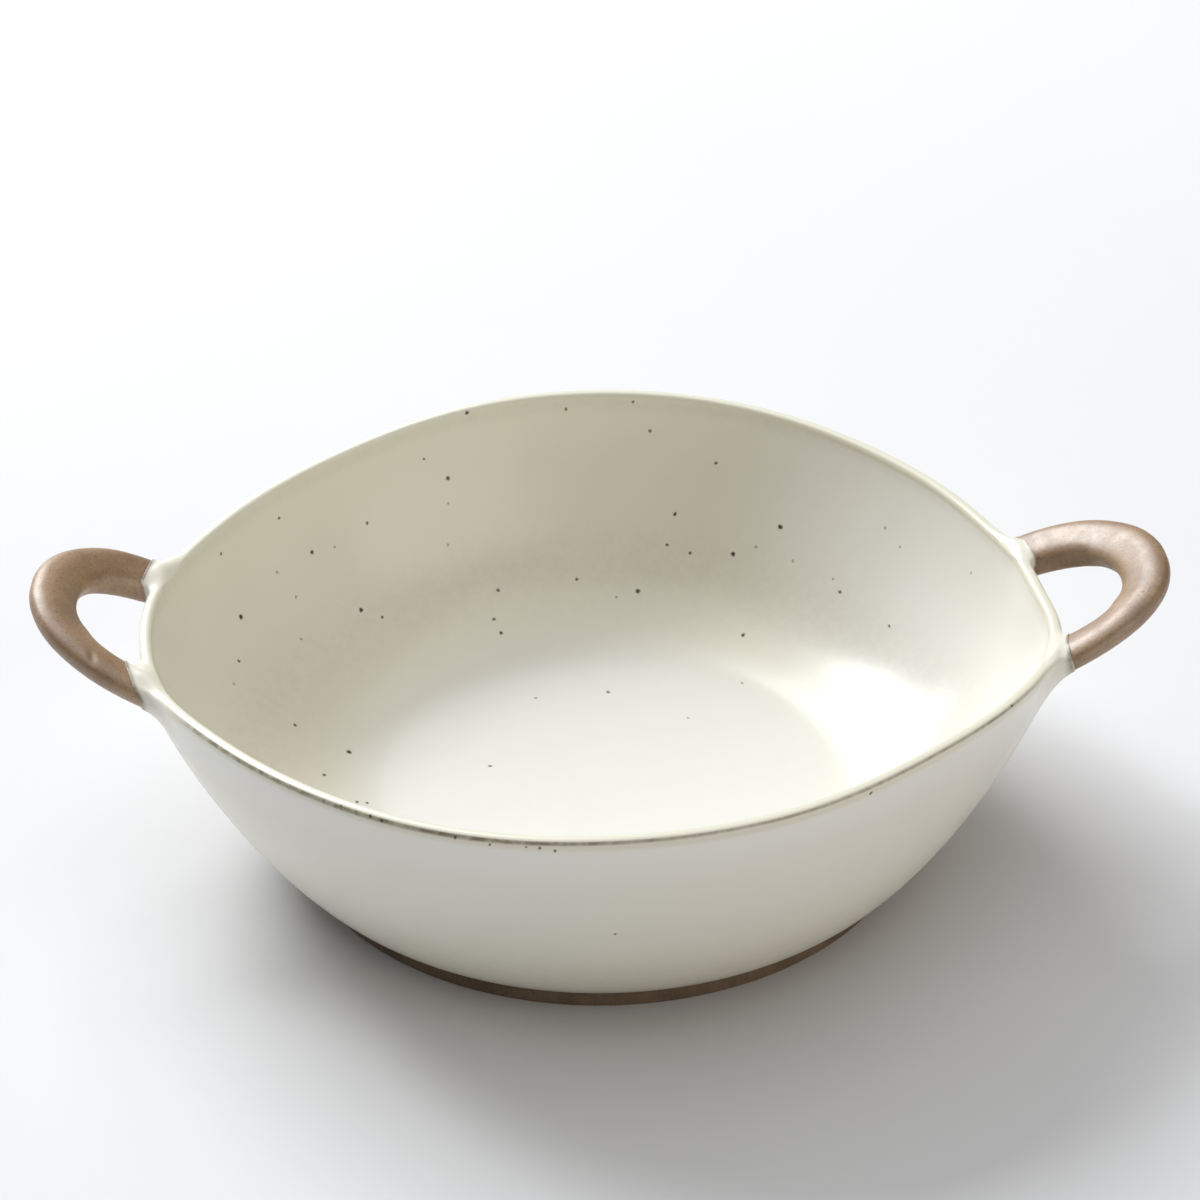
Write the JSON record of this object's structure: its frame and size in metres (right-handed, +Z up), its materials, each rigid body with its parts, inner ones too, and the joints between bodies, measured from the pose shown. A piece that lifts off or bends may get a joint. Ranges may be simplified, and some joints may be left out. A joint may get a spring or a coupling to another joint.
{
  "type": "handled bowl",
  "caption": "Wide low stoneware serving bowl in speckled off-white glaze, drawn out to an upswept loop handle of bare brown clay at each end, on a bare clay foot ring.",
  "frame": {"origin": "middle of the foot ring, on the table", "axes": "+X from the middle to the right handle, +Y to the rear side of the bowl, +Z up"},
  "size_m": [0.2874, 0.2168, 0.0767],
  "materials": {
    "glaze": "satin",
    "handle_clay": "satin",
    "foot_clay": "matte"
  },
  "bodies": {
    "root": {"bowl_body": "glaze", "foot_ring": "foot_clay", "right_handle": "handle_clay", "left_handle": "handle_clay", "right_rear_root": "glaze", "right_front_root": "glaze", "left_rear_root": "glaze", "left_front_root": "glaze"}
  },
  "joints": []
}
